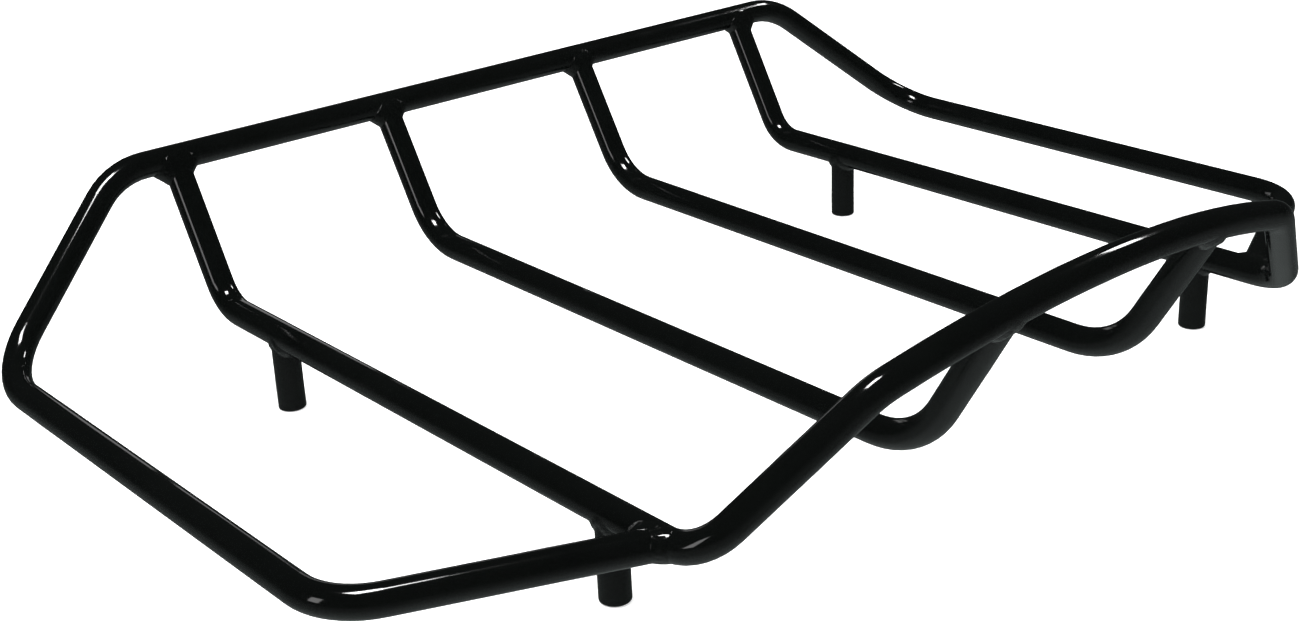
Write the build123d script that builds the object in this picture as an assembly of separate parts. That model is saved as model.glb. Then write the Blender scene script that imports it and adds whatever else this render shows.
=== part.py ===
from build123d import *
import os
from math import atan2, cos, hypot, sqrt

# A welded tubular luggage rack for the lid of a touring trunk.
#
# X runs across the rack, +Y points to the raised rail, -Y to the hoop, and +Z is up.
# The origin is the middle of the four mounting feet, on the plane that they bolt down to.
# The rack is symmetric about X = 0, so "side" is -1 for the left half and +1 for the right.
# All sizes are millimetres, and every path is the centre line of its tube.

# Tube stock, joints and weld beads
TUBE_OD = 12.7
TUBE_WALL = 1.65
JOINT_GAP = 0.02
TUBE_WELD = 2.5
POST_WELD = 2.0
WELD_REACH = 24.0

# Raised rail: the high rear side of the perimeter tube
RAIL_Y = 203.3
RAIL_Z = 99.6
RAIL_CORNER_X = 208.8
RAIL_CORNER_RADIUS = 37.7

# Perimeter tube: its two side runs and the front runs that end on the outer slats
SIDE_REAR = (287.7, 171.2, 31.7)
SIDE_REAR_RADIUS = 35.0
SIDE_FRONT = (286.2, -96.4, 32.6)
SIDE_FRONT_RADIUS = 30.5
FRONT_RUN_END_Y = -146.1

# Outer slats, which run on into the front hoop as one tube
OUTER_X = 178.9
OUTER_REAR_Y = 166.6
OUTER_REAR_Z = 34.8
OUTER_REAR_RADIUS = 20.0
OUTER_FRONT_Y = -162.7
OUTER_FRONT_Z = 36.1
OUTER_FRONT_RADIUS = 23.0
SHOULDER = (120.8, -191.2, 90.0)
SHOULDER_RADIUS = 25.0
CROWN_RISE = 34.5
CROWN_RADIUS = 376.0

# Inner slats, which dip at the front and rise to the underside of the hoop
INNER_X = 61.8
INNER_REAR_Y = 165.9
INNER_REAR_Z = 37.0
INNER_REAR_RADIUS = 31.0
INNER_FRONT_Y = -158.2
INNER_FRONT_Z = 35.3
INNER_FRONT_RADIUS = 41.0

# Mounting posts under the outer slats, with a tapped plug in the foot of each
POST_Y = 116.0
POST_OD = 12.7
POST_WALL = 1.8
POST_EDGE_RADIUS = 1.0
PLUG_GAP = 0.05
PLUG_LENGTH = 14.0
THREAD_MINOR_RADIUS = 2.5
THREAD_DEPTH = 12.0

# The hoop lies in one plane, which leans forward over the front bends.
LEG_FORWARD = SHOULDER[1] - OUTER_FRONT_Y
LEG_UP = SHOULDER[2] - OUTER_FRONT_Z
LEG_SLOPE = hypot(LEG_FORWARD, LEG_UP)


def hoop_plane_point(x, rise):
    """A point of the hoop's plane, at x and this far up the plane from the shoulders."""
    y = SHOULDER[1] + rise * LEG_FORWARD / LEG_SLOPE
    z = SHOULDER[2] + rise * LEG_UP / LEG_SLOPE
    return (x, y, z)


def crown_point(x):
    """The point of the hoop's crowned top at x."""
    half_turn = atan2(CROWN_RISE, SHOULDER[0])
    centre_rise = CROWN_RISE - CROWN_RADIUS / cos(half_turn)
    return hoop_plane_point(x, centre_rise + sqrt(CROWN_RADIUS**2 - x**2))


def outer_slat_z(y):
    """Height of an outer slat's centre line at y."""
    share = (y - OUTER_FRONT_Y) / (OUTER_REAR_Y - OUTER_FRONT_Y)
    return OUTER_FRONT_Z + share * (OUTER_REAR_Z - OUTER_FRONT_Z)


def mirrored(points):
    """The same points on the other side of X = 0, in reverse order."""
    return [(-x, y, z) for x, y, z in reversed(points)]


def bent_path(points, radii):
    """Straight runs joined by one tangent arc at each inner point."""
    return FilletPolyline(*points, radius=radii)


def solid_rod(path, diameter):
    """A solid rod of this diameter along a path."""
    start = Plane(origin=path @ 0, z_dir=path % 0)
    return sweep(start * Circle(diameter / 2), path)


def hollow_tube(path):
    """A tube of the stock's diameter and wall along a path."""
    return solid_rod(path, TUBE_OD) - solid_rod(path, TUBE_OD - 2 * TUBE_WALL)


def straight_rod(start, direction, diameter, length):
    """A solid rod from a point along a direction."""
    return extrude(Plane(origin=start, z_dir=direction) * Circle(diameter / 2), length)


def mirror_x(part):
    """The matching part on the other side of the rack."""
    return mirror(part, about=Plane.YZ)


def direction_between(start, end):
    """The vector from one point to another."""
    return Vector(*end) - Vector(*start)


def perimeter_path():
    """The tube round the back and both sides, from one outer slat to the other."""
    left = [
        (-OUTER_X, FRONT_RUN_END_Y, outer_slat_z(FRONT_RUN_END_Y)),
        (-SIDE_FRONT[0], SIDE_FRONT[1], SIDE_FRONT[2]),
        (-SIDE_REAR[0], SIDE_REAR[1], SIDE_REAR[2]),
        (-RAIL_CORNER_X, RAIL_Y, RAIL_Z),
    ]
    radii = [SIDE_FRONT_RADIUS, SIDE_REAR_RADIUS, RAIL_CORNER_RADIUS]
    return bent_path(left + mirrored(left), radii + radii[::-1])


def hoop_path():
    """Both outer slats and the hoop between them, from the rail and back to it."""
    left = [
        (-OUTER_X, RAIL_Y, RAIL_Z),
        (-OUTER_X, OUTER_REAR_Y, OUTER_REAR_Z),
        (-OUTER_X, OUTER_FRONT_Y, OUTER_FRONT_Z),
        (-SHOULDER[0], SHOULDER[1], SHOULDER[2]),
    ]
    crown = [hoop_plane_point(0, CROWN_RISE)]
    radii = [OUTER_REAR_RADIUS, OUTER_FRONT_RADIUS, SHOULDER_RADIUS]
    return bent_path(left + crown + mirrored(left), radii + [CROWN_RADIUS] + radii[::-1])


INNER_POINTS = [
    (-INNER_X, RAIL_Y, RAIL_Z),
    (-INNER_X, INNER_REAR_Y, INNER_REAR_Z),
    (-INNER_X, INNER_FRONT_Y, INNER_FRONT_Z),
    crown_point(-INNER_X),
]


def weld_bead(main_swell, main_rod, branch_rod, joint, direction, diameter, leg):
    """The bead round a branch, as wide as its leg on both members and outside them both."""
    branch_swell = straight_rod(joint, direction, diameter + 2 * leg, WELD_REACH)
    return (main_swell & branch_swell) - main_rod - branch_rod


def post(y, hoop_cut):
    """A left mounting post, coped to the slat above it and bored through."""
    height = outer_slat_z(y)
    foot = (-OUTER_X, y, 0)
    up = (0, 0, 1)
    rod = straight_rod(foot, up, POST_OD, height)
    rod = fillet(rod.edges().sort_by(Axis.Z)[0], POST_EDGE_RADIUS)
    bore = straight_rod(foot, up, POST_OD - 2 * POST_WALL, height)
    return rod - bore - hoop_cut


def threaded_plug(y):
    """The plug in a left post's foot, with a blind hole at the thread's minor diameter."""
    foot = (-OUTER_X, y, 0)
    up = (0, 0, 1)
    diameter = POST_OD - 2 * POST_WALL - 2 * PLUG_GAP
    body = straight_rod(foot, up, diameter, PLUG_LENGTH)
    return body - straight_rod(foot, up, 2 * THREAD_MINOR_RADIUS, THREAD_DEPTH)


def build_parts():
    """Every piece of the rack by node name."""
    perimeter = perimeter_path()
    hoop = hoop_path()
    inner = bent_path(INNER_POINTS, [INNER_REAR_RADIUS, INNER_FRONT_RADIUS])
    gap_od = TUBE_OD + 2 * JOINT_GAP
    weld_od = TUBE_OD + 2 * TUBE_WELD

    rail_ends = ((-RAIL_CORNER_X, RAIL_Y, RAIL_Z), (1, 0, 0))
    rail_cut = straight_rod(*rail_ends, gap_od, 2 * RAIL_CORNER_X)
    rail_rod = straight_rod(*rail_ends, TUBE_OD, 2 * RAIL_CORNER_X)
    rail_swell = straight_rod(*rail_ends, weld_od, 2 * RAIL_CORNER_X)
    hoop_rod = solid_rod(hoop, TUBE_OD)
    hoop_cut = solid_rod(hoop, gap_od)
    front_hoop_cut = split(hoop_cut, bisect_by=Plane.XZ, keep=Keep.TOP)
    hoop_swell = solid_rod(hoop, weld_od)
    perimeter_rod = solid_rod(perimeter, TUBE_OD)
    inner_rod = solid_rod(inner, TUBE_OD)

    parts = {}
    parts["perimeter_tube"] = hollow_tube(perimeter) - front_hoop_cut
    parts["hoop_tube"] = hollow_tube(hoop) - rail_cut
    left = {"inner_slat": hollow_tube(inner) - rail_cut - hoop_cut}

    rail_joint = (-OUTER_X, RAIL_Y, RAIL_Z)
    slope = direction_between(rail_joint, (-OUTER_X, OUTER_REAR_Y, OUTER_REAR_Z))
    left["weld_rail_outer"] = weld_bead(
        rail_swell, rail_rod, hoop_rod, rail_joint, slope, TUBE_OD, TUBE_WELD
    )
    slope = direction_between(INNER_POINTS[0], INNER_POINTS[1])
    left["weld_rail_inner"] = weld_bead(
        rail_swell, rail_rod, inner_rod, INNER_POINTS[0], slope, TUBE_OD, TUBE_WELD
    )
    slope = direction_between(INNER_POINTS[3], INNER_POINTS[2])
    left["weld_hoop_inner"] = weld_bead(
        hoop_swell, hoop_rod, inner_rod, INNER_POINTS[3], slope, TUBE_OD, TUBE_WELD
    )
    run_end = (-OUTER_X, FRONT_RUN_END_Y, outer_slat_z(FRONT_RUN_END_Y))
    slope = direction_between(run_end, (-SIDE_FRONT[0], SIDE_FRONT[1], SIDE_FRONT[2]))
    left["weld_perimeter_end"] = weld_bead(
        hoop_swell, hoop_rod, perimeter_rod, run_end, slope, TUBE_OD, TUBE_WELD
    )

    for place, y in (("front", -POST_Y), ("rear", POST_Y)):
        top = (-OUTER_X, y, outer_slat_z(y))
        post_rod = straight_rod((-OUTER_X, y, 0), (0, 0, 1), POST_OD, top[2])
        post_swell = solid_rod(hoop, TUBE_OD + 2 * POST_WELD)
        left["post_" + place] = post(y, hoop_cut)
        left["threaded_plug_" + place] = threaded_plug(y)
        left["weld_post_" + place] = weld_bead(
            post_swell, hoop_rod, post_rod, top, (0, 0, -1), POST_OD, POST_WELD
        )

    for name, part in left.items():
        parts[name + "_left"] = part
        parts[name + "_right"] = mirror_x(part)
    return parts


os.makedirs("parts", exist_ok=True)
for node, shape in build_parts().items():
    export_step(shape, f"parts/{node}.step")
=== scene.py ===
import math
import random
import bmesh
import bpy
from mathutils import Matrix, Vector
from mathutils.bvhtree import BVHTree
from mathutils.geometry import intersect_line_line
from mathutils.interpolate import poly_3d_calc

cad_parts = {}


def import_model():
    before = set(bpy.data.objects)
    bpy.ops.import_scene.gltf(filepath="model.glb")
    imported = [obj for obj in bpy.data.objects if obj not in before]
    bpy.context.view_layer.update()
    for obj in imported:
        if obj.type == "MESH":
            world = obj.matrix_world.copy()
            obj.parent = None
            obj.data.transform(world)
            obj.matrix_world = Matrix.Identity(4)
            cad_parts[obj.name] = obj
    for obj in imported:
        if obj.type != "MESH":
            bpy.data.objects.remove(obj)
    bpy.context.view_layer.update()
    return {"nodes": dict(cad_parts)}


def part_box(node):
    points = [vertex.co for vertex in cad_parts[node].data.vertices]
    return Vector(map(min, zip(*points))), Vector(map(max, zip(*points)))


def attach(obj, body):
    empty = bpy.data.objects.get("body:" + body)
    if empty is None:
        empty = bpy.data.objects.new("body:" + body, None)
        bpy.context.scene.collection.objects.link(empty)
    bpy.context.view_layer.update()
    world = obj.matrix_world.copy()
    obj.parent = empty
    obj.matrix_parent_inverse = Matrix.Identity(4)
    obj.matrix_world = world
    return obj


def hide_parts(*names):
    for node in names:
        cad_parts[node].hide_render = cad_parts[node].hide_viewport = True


# A gloss black, welded tube luggage rack on a plain white studio floor. Metres, +Z up.
# +Y points to the raised rail and -Y to the hoop; the origin is on the floor, amid the four feet.

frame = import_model()
MM = 0.001
X, Y, Z = 0, 1, 2
SIDES = (("left", -1), ("right", 1))
ENDS = ("front", "rear")

# Camera
CAMERA_PLACE = (-0.5436, -0.5868, 0.3616)
CAMERA_AZIMUTH = -39.425
CAMERA_ELEVATION = 22.587
CAMERA_ROLL = -2.486
SENSOR_WIDTH = 36.0
CAMERA_LENS = 51.86
CLIP_START = 0.01


def camera():
    """The camera, level but for a small roll, looking down on the rack from its front left."""
    data = bpy.data.cameras.new("camera")
    data.sensor_width = SENSOR_WIDTH
    data.lens = CAMERA_LENS
    data.clip_start = CLIP_START
    made = bpy.data.objects.new("camera", data)
    bpy.context.scene.collection.objects.link(made)
    azimuth, elevation = math.radians(CAMERA_AZIMUTH), math.radians(CAMERA_ELEVATION)
    level = math.cos(elevation)
    back = Vector((math.sin(azimuth) * level, -math.cos(azimuth) * level, math.sin(elevation)))
    roll = Matrix.Rotation(math.radians(CAMERA_ROLL), 3, "Z")
    turn = back.to_track_quat("Z", "Y").to_matrix() @ roll
    made.matrix_world = Matrix.Translation(CAMERA_PLACE) @ turn.to_4x4()
    bpy.context.scene.camera = made


# Studio: a white floor and surround light the room, and the paint mirrors a dim room with five lamps.
# Brightness is relative to white, and a mirrored direction is given by its height, from -1 to 1.
FLOOR_SIZE = 12.0
FLOOR_DROP = 0.1 * MM
FLOOR_WHITE = (0.9, 0.9, 0.9, 1)
FLOOR_ROUGHNESS = 0.9
ROOM_LIGHT = 1.16
FLOOR_GLOW = 0.4
MIRRORED_TINT = (0.9, 1.0, 0.98, 1)
MIRRORED_ABOVE = 0.013
MIRRORED_BELOW = 0.13
MIRRORED_SLANT = -0.034
BELOW_DEPTH = 0.4
MIRRORED_FOOT = 0.20
FOOT_FROM = 0.55
FOOT_TO = 0.9
LAMPS = (
    # name, place, point it faces, size, direction of its first side, brightness
    ("overhead", (-0.277, 0.036, 1.3), (-0.1, 0, 0), (0.32, 0.12), (-0.876, 0.483, 0), 30.0),
    ("overhead_left", (-0.405, 0.049, 1.3), (-0.1, 0, 0), (0.40, 0.28), (-0.998, 0.056, 0), 34.0),
    ("left", (-1.3, 0.05, 0.40), (0, 0, 0.05), (0.24, 0.46), (0, 1, 0), 3.2),
    ("right", (1.3, 0.043, 1.198), (0, 0, 0.05), (0.36, 0.17), (0, 1, 0), 26.0),
    ("rear", (0.50, 1.40, 0.32), (0, 0, 0.05), (0.60, 0.26), (1, 0, 0), 0.7),
)


def new_material(name):
    """An empty node material, with its node tree and its shader."""
    material = bpy.data.materials.new(name)
    material.use_nodes = True
    tree = material.node_tree
    return material, tree, tree.nodes["Principled BSDF"]


def floor():
    """A plain white floor, wide enough to fill the view."""
    mesh = bpy.data.meshes.new("floor")
    h = FLOOR_SIZE / 2
    corners = [(x, y, -FLOOR_DROP) for x, y in ((-h, -h), (h, -h), (h, h), (-h, h))]
    mesh.from_pydata(corners, [], [(0, 1, 2, 3)])
    made = bpy.data.objects.new("floor", mesh)
    bpy.context.scene.collection.objects.link(made)
    material, tree, shader = new_material("floor_white")
    shader.inputs["Base Color"].default_value = FLOOR_WHITE
    shader.inputs["Roughness"].default_value = FLOOR_ROUGHNESS
    shader.inputs["Specular IOR Level"].default_value = 0.0
    shader.inputs["Emission Color"].default_value = (1, 1, 1, 1)
    shader.inputs["Emission Strength"].default_value = FLOOR_GLOW
    mesh.materials.append(material)
    made.visible_glossy = False


def math_node(tree, operation, first, second, clamp=False):
    """A Math node on two sockets or numbers."""
    node = tree.nodes.new("ShaderNodeMath")
    node.operation = operation
    node.use_clamp = clamp
    for socket, value in zip(node.inputs, (first, second)):
        if isinstance(value, (int, float)):
            socket.default_value = value
        else:
            tree.links.new(value, socket)
    return node.outputs[0]


def ramp(tree, value, start, end, top):
    """A value that climbs smoothly from 0 to its top between two inputs."""
    node = tree.nodes.new("ShaderNodeMapRange")
    node.interpolation_type = "SMOOTHSTEP"
    node.inputs["From Min"].default_value = start
    node.inputs["From Max"].default_value = end
    node.inputs["To Max"].default_value = top
    tree.links.new(value, node.inputs["Value"])
    return node.outputs["Result"]


def world():
    """An even white surround, which shows in the paint as a dim room that is paler below."""
    made = bpy.data.worlds.new("studio")
    bpy.context.scene.world = made
    made.use_nodes = True
    tree = made.node_tree
    white = tree.nodes["Background"]
    white.inputs["Color"].default_value = (1, 1, 1, 1)
    white.inputs["Strength"].default_value = ROOM_LIGHT
    direction = tree.nodes.new("ShaderNodeSeparateXYZ")
    place = tree.nodes.new("ShaderNodeTexCoord")
    tree.links.new(place.outputs["Generated"], direction.inputs[0])
    below = math_node(tree, "MULTIPLY", direction.outputs["Z"], -1 / BELOW_DEPTH, clamp=True)
    slant = math_node(tree, "MULTIPLY", direction.outputs["X"], MIRRORED_SLANT)
    floor_light = math_node(tree, "ADD", slant, MIRRORED_BELOW - MIRRORED_ABOVE)
    rise = math_node(tree, "MULTIPLY", below, floor_light)
    foot = ramp(tree, direction.outputs["Z"], -FOOT_FROM, -FOOT_TO, MIRRORED_FOOT)
    dim = tree.nodes.new("ShaderNodeBackground")
    dim.inputs["Color"].default_value = MIRRORED_TINT
    light = math_node(tree, "ADD", rise, foot)
    tree.links.new(math_node(tree, "ADD", light, MIRRORED_ABOVE), dim.inputs["Strength"])
    ray = tree.nodes.new("ShaderNodeLightPath")
    choice = tree.nodes.new("ShaderNodeMixShader")
    tree.links.new(ray.outputs["Is Glossy Ray"], choice.inputs["Fac"])
    tree.links.new(white.outputs[0], choice.inputs[1])
    tree.links.new(dim.outputs[0], choice.inputs[2])
    tree.links.new(choice.outputs[0], tree.nodes["World Output"].inputs["Surface"])


def lamp(name, place, target, size, along, radiance):
    """A rectangular studio lamp that faces a point, with its first side along a direction."""
    data = bpy.data.lights.new(name, "AREA")
    data.shape = "RECTANGLE"
    data.size, data.size_y = size
    data.energy = radiance * size[0] * size[1] * math.pi
    made = bpy.data.objects.new(name, data)
    bpy.context.scene.collection.objects.link(made)
    back = (Vector(place) - Vector(target)).normalized()
    side = Vector(along)
    side = (side - side.dot(back) * back).normalized()
    turn = Matrix((side, back.cross(side), back)).transposed()
    made.matrix_world = Matrix.Translation(place) @ turn.to_4x4()
    made.visible_camera = False


# Materials. Noise scales are per metre, and relief depths are in metres.
NOISE_RANGE = (0.3, 0.7)
PAINT_DARK = (0.0012, 0.0015, 0.0014)
PAINT_PALE = (0.0021, 0.0026, 0.0024)
PAINT_IOR = 1.5
FLOW_SCALE = 26.0
HAZE_SCALE = 60.0
FLOW_IN_HAZE = 0.3
HAZE_SHARE = 0.87
PEEL_SCALE = 420.0
WAVE_SCALE = 90.0
WAVE_TO_PEEL = 3
ZINC_DULL = (0.52, 0.51, 0.47)
ZINC_BRIGHT = (0.68, 0.68, 0.66)
ZINC_ROUGHNESS = (0.22, 0.4)
BLOOM_SCALE = 500.0
TURNING_SCALE = 900.0
TURNING_DEPTH = 6e-6


def noise(tree, scale, detail=2.0, roughness=0.5):
    """A noise texture in the object's own metres."""
    node = tree.nodes.new("ShaderNodeTexNoise")
    node.inputs["Scale"].default_value = scale
    node.inputs["Detail"].default_value = detail
    node.inputs["Roughness"].default_value = roughness
    place = tree.nodes.new("ShaderNodeTexCoord")
    tree.links.new(place.outputs["Object"], node.inputs["Vector"])
    return node.outputs["Fac"]


def spread(tree, value, low, high):
    """A noise value spread over a range."""
    node = tree.nodes.new("ShaderNodeMapRange")
    node.inputs["From Min"].default_value = NOISE_RANGE[0]
    node.inputs["From Max"].default_value = NOISE_RANGE[1]
    node.inputs["To Min"].default_value = low
    node.inputs["To Max"].default_value = high
    tree.links.new(value, node.inputs["Value"])
    return node.outputs["Result"]


def bump(tree, shader, heights):
    """Relief from a chain of heights, each with its depth in metres."""
    normal = None
    for height, depth in heights:
        node = tree.nodes.new("ShaderNodeBump")
        node.inputs["Strength"].default_value = 1.0
        node.inputs["Distance"].default_value = depth
        tree.links.new(height, node.inputs["Height"])
        if normal:
            tree.links.new(normal, node.inputs["Normal"])
        normal = node.outputs["Normal"]
    tree.links.new(normal, shader.inputs["Normal"])


def mix_colours(tree, factor, first, second):
    """A colour between two, by a noise value."""
    node = tree.nodes.new("ShaderNodeMix")
    node.data_type = "RGBA"
    tree.links.new(factor, node.inputs["Factor"])
    node.inputs["A"].default_value = (*first, 1)
    node.inputs["B"].default_value = (*second, 1)
    return node.outputs["Result"]


def gloss_black(name, peel_depth, roughness):
    """Black powder coat with a deep gloss, a faint orange peel and slightly uneven flow."""
    material, tree, shader = new_material(name)
    flow = noise(tree, FLOW_SCALE)
    colour = mix_colours(tree, flow, PAINT_DARK, PAINT_PALE)
    tree.links.new(colour, shader.inputs["Base Color"])
    flow_share = math_node(tree, "MULTIPLY", flow, FLOW_IN_HAZE)
    haze = math_node(tree, "ADD", noise(tree, HAZE_SCALE, 4.0), flow_share)
    haze = math_node(tree, "MULTIPLY", haze, HAZE_SHARE)
    tree.links.new(spread(tree, haze, *roughness), shader.inputs["Roughness"])
    shader.inputs["IOR"].default_value = PAINT_IOR
    peel = noise(tree, PEEL_SCALE, 1.0)
    wave = noise(tree, WAVE_SCALE, 1.0)
    bump(tree, shader, [(peel, peel_depth), (wave, WAVE_TO_PEEL * peel_depth)])
    return material


def zinc_steel(name):
    """Bright zinc plate over turned steel: fine rings round the axis, and a mottled sheen."""
    material, tree, shader = new_material(name)
    bloom = noise(tree, BLOOM_SCALE, 4.0)
    colour = mix_colours(tree, bloom, ZINC_DULL, ZINC_BRIGHT)
    tree.links.new(colour, shader.inputs["Base Color"])
    shader.inputs["Metallic"].default_value = 1.0
    tree.links.new(spread(tree, bloom, *ZINC_ROUGHNESS), shader.inputs["Roughness"])
    rings = tree.nodes.new("ShaderNodeTexWave")
    rings.wave_type = "RINGS"
    rings.rings_direction = "Z"
    rings.inputs["Scale"].default_value = TURNING_SCALE
    rings.inputs["Distortion"].default_value = 1.0
    place = tree.nodes.new("ShaderNodeTexCoord")
    tree.links.new(place.outputs["Object"], rings.inputs["Vector"])
    bump(tree, shader, [(rings.outputs["Fac"], TURNING_DEPTH)])
    return material


PAINT = gloss_black("gloss_black_paint", 1.5e-6, (0.06, 0.10))
WELD_PAINT = gloss_black("weld_paint", 3.0e-6, (0.07, 0.13))
ZINC = zinc_steel("zinc_plate")


def paint_nodes():
    """Gives every CAD node its coat of paint."""
    for node in frame["nodes"].values():
        node.data.materials.clear()
        node.data.materials.append(PAINT)


# Tube centre lines, read from the frame
def ring_box(node, axis, value, keep):
    """The box of the ring that the plane axis = value cuts from a tube, where keep is true."""
    cut = bmesh.new()
    cut.from_mesh(frame["nodes"][node].data)
    normal = Vector((0, 0, 0))
    normal[axis] = 1
    everything = cut.verts[:] + cut.edges[:] + cut.faces[:]
    made = bmesh.ops.bisect_plane(cut, geom=everything, plane_co=normal * value, plane_no=normal)
    corners = [item for item in made["geom_cut"] if isinstance(item, bmesh.types.BMVert)]
    ring = [corner.co.copy() for corner in corners if keep(corner.co)]
    cut.free()
    low = Vector([min(co[k] for co in ring) for k in range(3)])
    high = Vector([max(co[k] for co in ring) for k in range(3)])
    return low, high


def centre_line(node, axis, values, keep):
    """Two points on the centre line of a tube's straight stretch."""
    points = []
    for value in values:
        low, high = ring_box(node, axis, value, keep)
        points.append((low + high) / 2)
    return points


def meeting(main, branch):
    """The point where a branch's centre line meets a main tube's, and both directions."""
    joint = intersect_line_line(*main, *branch)[1]
    return joint, (main[1] - main[0]).normalized(), (branch[1] - branch[0]).normalized()


class Surface:
    """The surface of a CAD node, to lay a weld on."""

    def __init__(self, node):
        self.mesh = frame["nodes"][node].data
        corners = [v.co for v in self.mesh.vertices]
        faces = [p.vertices[:] for p in self.mesh.polygons]
        self.tree = BVHTree.FromPolygons(corners, faces)

    def first_hit(self, start, direction):
        """The first point of the surface along a ray."""
        return self.tree.ray_cast(start, direction)[0]

    def nearest(self, point):
        """The nearest point of the surface."""
        return self.tree.find_nearest(point)[0]

    def normal(self, point):
        """The smooth normal of the surface at its nearest point."""
        place, _, index, _ = self.tree.find_nearest(point)
        vertices = [self.mesh.vertices[i] for i in self.mesh.polygons[index].vertices]
        weights = poly_3d_calc([v.co for v in vertices], place)
        total = Vector((0, 0, 0))
        for vertex, weight in zip(vertices, weights):
            total += weight * vertex.normal
        return total.normalized()


# Weld beads. A bead is a ring of cross sections that follows the seam round a branch. It is lumpy by
# waves, each with a count round the ring and a height, and its ripples trail back at both toes.
BEAD_STEPS = 288
SECTION_STEPS = 12
SEAM_SHARE = 0.985
TOE_SINK = 0.12 * MM
ROOT_DEPTH = 0.8 * MM
RIPPLE_PITCH = 1.9 * MM
RIPPLE_DEPTH = 0.12 * MM
CHEVRON = 1.1
PROBE = 26.0 * MM
SEAM_SMOOTHING = 5
NORMAL_SMOOTHING = 10
LEG_WAVES = ((3, 0.10), (5, 0.07))
CROWN_WAVE = (4, 0.3)


def smoothed(vectors, reach):
    """Each vector averaged with its neighbours round a closed ring."""
    count = len(vectors)
    made = []
    for i in range(count):
        total = Vector((0, 0, 0))
        for j in range(-reach, reach + 1):
            total += vectors[(i + j) % count]
        made.append(total / (2 * reach + 1))
    return made


def seam_round(joint, main, branch, radius, surface):
    """The points where a branch meets a main tube, and the branch's normals there."""
    forward = (main - main.dot(branch) * branch).normalized()
    side = branch.cross(forward)
    points, branch_normals = [], []
    for i in range(BEAD_STEPS):
        angle = math.tau * i / BEAD_STEPS
        out = math.cos(angle) * forward + math.sin(angle) * side
        start = joint + SEAM_SHARE * radius * out + PROBE * branch
        points.append(surface.first_hit(start, -branch) + (1 - SEAM_SHARE) * radius * out)
        branch_normals.append(out)
    return smoothed(points, SEAM_SMOOTHING), branch_normals


def away(normal, tangent, wanted):
    """The direction on a surface that leaves the seam squarely, on the wanted side."""
    across = normal.cross(tangent).normalized()
    return across if across.dot(wanted) > 0 else -across


def on_branch(point, joint, branch, radius):
    """The nearest point of the branch's surface."""
    height = (point - joint).dot(branch)
    axis_point = joint + height * branch
    return axis_point + (point - axis_point).normalized() * radius


def weld_bead(name, node, joint, main, branch, radius, surface, legs, proud):
    """A rippled fillet all round a branch.

    The legs are its widths behind and ahead along the main tube, and it stands proud at the sides.
    """
    draw = random.Random(name)
    phases = [draw.uniform(0, math.tau) for _ in range(4)]
    points, branch_normals = seam_round(joint, main, branch, radius, surface)
    main_normals = smoothed([surface.normal(point) for point in points], NORMAL_SMOOTHING)
    count = len(points)
    steps = [points[(i + 1) % count] - points[i - 1] for i in range(count)]
    tangents = smoothed(steps, NORMAL_SMOOTHING)
    lengths = [(points[(i + 1) % count] - points[i]).length for i in range(count)]
    whole = sum(lengths)
    ripples = round(whole / RIPPLE_PITCH)
    mesh = bmesh.new()
    rings = []
    run = 0.0
    for i in range(count):
        angle = math.tau * i / count
        seam = points[i]
        tangent = tangents[i].normalized()
        over, out = main_normals[i].normalized(), branch_normals[i]
        outward = (over + out).normalized()
        lump = 1 + sum(h * math.sin(n * angle + at) for (n, h), at in zip(LEG_WAVES, phases))
        ahead = (1 + math.cos(angle)) / 2
        leg = (legs[0] + (legs[1] - legs[0]) * ahead) * lump
        main_way = away(over, tangent, out - branch)
        branch_way = away(out, tangent, branch)
        swing = 1 + CROWN_WAVE[1] * math.sin(CROWN_WAVE[0] * angle + phases[2])
        crown = proud * math.sin(angle) ** 2 * swing
        main_toe = surface.nearest(seam + leg * main_way)
        branch_toe = on_branch(seam + leg * branch_way, joint, branch, radius)
        ring = []
        for j in range(SECTION_STEPS + 1):
            share = j / SECTION_STEPS
            if share < 0.5:
                base = surface.nearest(seam + (1 - 2 * share) * leg * main_way)
                inward = over
            else:
                base = on_branch(seam + (2 * share - 1) * leg * branch_way, joint, branch, radius)
                inward = out
            swell = math.sin(math.pi * share) ** 2
            chord = main_toe.lerp(branch_toe, share)
            filled = max(0.0, (chord - base).dot(outward))
            phase = math.tau * (run / whole * ripples - CHEVRON * (share - 0.5) ** 2 * 4)
            ripple = RIPPLE_DEPTH * (1 - math.cos(phase + phases[3])) / 2
            point = base + (filled + (crown - ripple) * swell) * outward
            if j in (0, SECTION_STEPS):
                point -= TOE_SINK * inward
            ring.append(mesh.verts.new(point))
        ring.append(mesh.verts.new(seam - ROOT_DEPTH * outward))
        rings.append(ring)
        run += lengths[i]
    for i in range(count):
        first, second = rings[i], rings[(i + 1) % count]
        for j in range(len(first)):
            k = (j + 1) % len(first)
            mesh.faces.new((first[j], first[k], second[k], second[j]))
    finish_piece(mesh, name, node, WELD_PAINT)


def finish_piece(mesh, name, node, material, place=Vector((0, 0, 0))):
    """Turns a closed mesh into a smooth piece that rides on the rack and stands for a CAD node."""
    bmesh.ops.recalc_face_normals(mesh, faces=mesh.faces[:])
    data = bpy.data.meshes.new(name)
    mesh.to_mesh(data)
    mesh.free()
    data.shade_smooth()
    data.materials.append(material)
    made = bpy.data.objects.new(name, data)
    made.location = place
    bpy.context.scene.collection.objects.link(made)
    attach(made, "root")
    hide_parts(node)
    return made


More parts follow.
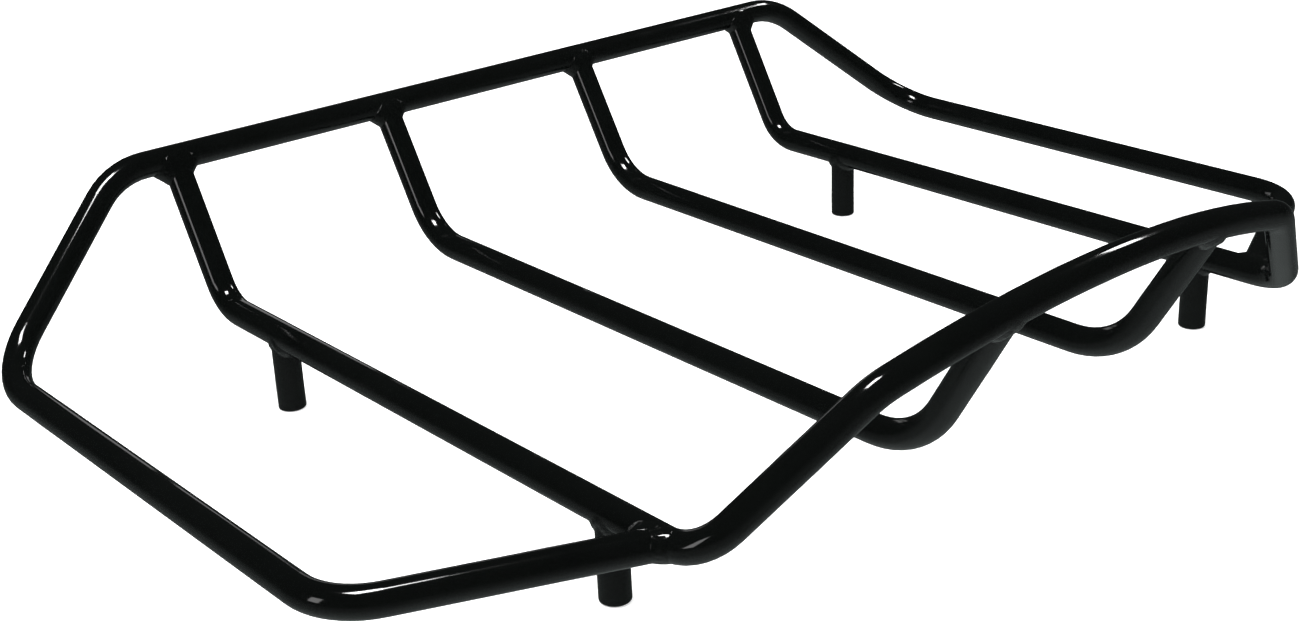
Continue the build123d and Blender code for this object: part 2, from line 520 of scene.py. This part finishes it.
# Each weld's widths behind and ahead along its main tube, towards -X and +X, or -Y and +Y where
# the main tube is a slat, and how proud it stands at the sides. Every hand weld is different.
WELDS = {
    "rail_outer_left": (5.2, 4.1, 0.30),
    "rail_inner_left": (3.9, 3.3, 0.30),
    "rail_inner_right": (3.8, 2.6, 0.30),
    "rail_outer_right": (2.6, 4.6, 0.30),
    "hoop_inner_left": (3.5, 3.7, 0.55),
    "hoop_inner_right": (3.7, 3.4, 0.55),
    "perimeter_end_left": (3.8, 4.4, 0.35),
    "perimeter_end_right": (3.8, 4.2, 0.35),
    "post_front_left": (2.3, 2.6, 0.50),
    "post_front_right": (2.4, 2.4, 0.50),
    "post_rear_left": (2.5, 2.3, 0.50),
    "post_rear_right": (2.2, 2.5, 0.50),
}
# Where each tube is cut across to find its centre line
RAIL_CUTS = (-0.05, 0.05)
RISE_CUT_HEIGHTS = (0.080, 0.062)
HOOP_CUT_HEIGHTS = (0.075, 0.062)
SLAT_CUT_PLACES = (-0.100, 0.100)
FRONT_RUN_CUTS = (0.200, 0.240)
CROWN_HALF_STEP = 0.004


def everywhere(place):
    """Keeps the whole of a cut."""
    return True


def rail_height():
    """The height of the rail's cross section, which is the tubes' diameter."""
    low, high = ring_box("perimeter_tube", X, 0.0, everywhere)
    return high.z - low.z


def welds():
    """The beads at every joint."""
    rail = centre_line("perimeter_tube", X, RAIL_CUTS, everywhere)
    tube_radius = rail_height() / 2
    perimeter_surface = Surface("perimeter_tube")
    hoop_surface = Surface("hoop_tube")

    def bead(joint, main, branch, surface):
        place, along, leaving = meeting(main, branch)
        behind, ahead, proud = (value * MM for value in WELDS[joint])
        name, node = "weld_bead_" + joint, "weld_" + joint
        weld_bead(name, node, place, along, leaving, tube_radius, surface, (behind, ahead), proud)

    for side, sign in SIDES:
        inner = "inner_slat_" + side
        behind = lambda co: co.y > 0 and co.x * sign > 0
        ahead = lambda co: co.y < 0 and co.x * sign > 0
        outer_rise = centre_line("hoop_tube", Z, RISE_CUT_HEIGHTS, behind)
        bead("rail_outer_" + side, rail, outer_rise, perimeter_surface)
        inner_rise = centre_line(inner, Z, RISE_CUT_HEIGHTS, behind)
        bead("rail_inner_" + side, rail, inner_rise, perimeter_surface)
        inner_front = centre_line(inner, Z, HOOP_CUT_HEIGHTS, ahead)
        x = inner_front[0].x
        cuts = (x - CROWN_HALF_STEP, x + CROWN_HALF_STEP)
        crown = centre_line("hoop_tube", X, cuts, everywhere)
        bead("hoop_inner_" + side, crown, inner_front, hoop_surface)
        slat = centre_line("hoop_tube", Y, SLAT_CUT_PLACES, lambda co: co.x * sign > 0)
        cuts = [sign * x for x in FRONT_RUN_CUTS]
        run = centre_line("perimeter_tube", X, cuts, lambda co: co.y < 0)
        bead("perimeter_end_" + side, slat, run, hoop_surface)
        for end in ENDS:
            low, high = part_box(f"post_{end}_{side}")
            foot = Vector(((low.x + high.x) / 2, (low.y + high.y) / 2, low.z))
            bead(f"post_{end}_{side}", slat, (foot + Vector((0, 0, 1)), foot), hoop_surface)


# Threaded plugs: an M6 thread, cut with a countersunk mouth and a drill point
THREAD_PITCH = 1.0 * MM
THREAD_MINOR = 2.5 * MM
THREAD_MAJOR = 3.0 * MM
MOUTH_RADIUS = 3.4 * MM
THREAD_STEPS = 12
TURN_STEPS = 48
HOLE_DEPTH = 12.0 * MM
DRILL_POINT = 1.2 * MM
RUN_OUT = 1.5 * MM
PLUG_CHAMFER = 0.3 * MM
THREAD_FLAT = 0.15
SHARP_ANGLE = 35


def thread_radius(height, turn):
    """Radius of the tapped wall at a height and a share of a turn, with its countersunk mouth."""
    share = (height / THREAD_PITCH - turn) % 1.0
    slope = abs(2 * share - 1)
    cut = min(max((slope - THREAD_FLAT) / (1 - 2 * THREAD_FLAT), 0.0), 1.0)
    fade = min(max((HOLE_DEPTH - height) / RUN_OUT, 0.0), 1.0)
    wall = THREAD_MINOR + (THREAD_MAJOR - THREAD_MINOR) * cut * fade
    return max(wall, MOUTH_RADIUS - height)


def threaded_plug(name, node):
    """A turned plug with a countersunk, tapped and drill-pointed hole in its lower face."""
    low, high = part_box(node)
    radius = (high.x - low.x) / 2
    length = high.z - low.z
    rim = radius - PLUG_CHAMFER
    plain = [
        (rim, length),
        (radius, length - PLUG_CHAMFER),
        (radius, PLUG_CHAMFER),
        (rim, 0.0),
    ]
    outline = [(lambda turn, r=r: r, z) for r, z in plain]
    rows = round(HOLE_DEPTH / THREAD_PITCH * THREAD_STEPS)
    for row in range(rows + 1):
        height = HOLE_DEPTH * row / rows
        outline.append((lambda turn, z=height: thread_radius(z, turn), height))
    mesh = bmesh.new()
    rings = []
    for radius_at, height in outline:
        ring = []
        for step in range(TURN_STEPS):
            turn = step / TURN_STEPS
            angle = math.tau * turn
            r = radius_at(turn)
            ring.append(mesh.verts.new((r * math.cos(angle), r * math.sin(angle), height)))
        rings.append(ring)
    for first, second in zip(rings, rings[1:]):
        for step in range(TURN_STEPS):
            after = (step + 1) % TURN_STEPS
            mesh.faces.new((first[step], first[after], second[after], second[step]))
    for ring, height in ((rings[0], length), (rings[-1], HOLE_DEPTH + DRILL_POINT)):
        tip = mesh.verts.new((0, 0, height))
        for step in range(TURN_STEPS):
            mesh.faces.new((ring[step], ring[(step + 1) % TURN_STEPS], tip))
    place = Vector(((low.x + high.x) / 2, (low.y + high.y) / 2, low.z))
    made = finish_piece(mesh, name, node, ZINC, place)
    made.data.set_sharp_from_angle(angle=math.radians(SHARP_ANGLE))


def plugs():
    """The four threaded plugs in the posts' feet."""
    for side, sign in SIDES:
        for end in ENDS:
            threaded_plug(f"tapped_plug_{end}_{side}", f"threaded_plug_{end}_{side}")


camera()
world()
floor()
for settings in LAMPS:
    lamp(*settings)
paint_nodes()
welds()
plugs()
bpy.context.scene.view_settings.view_transform = "Standard"
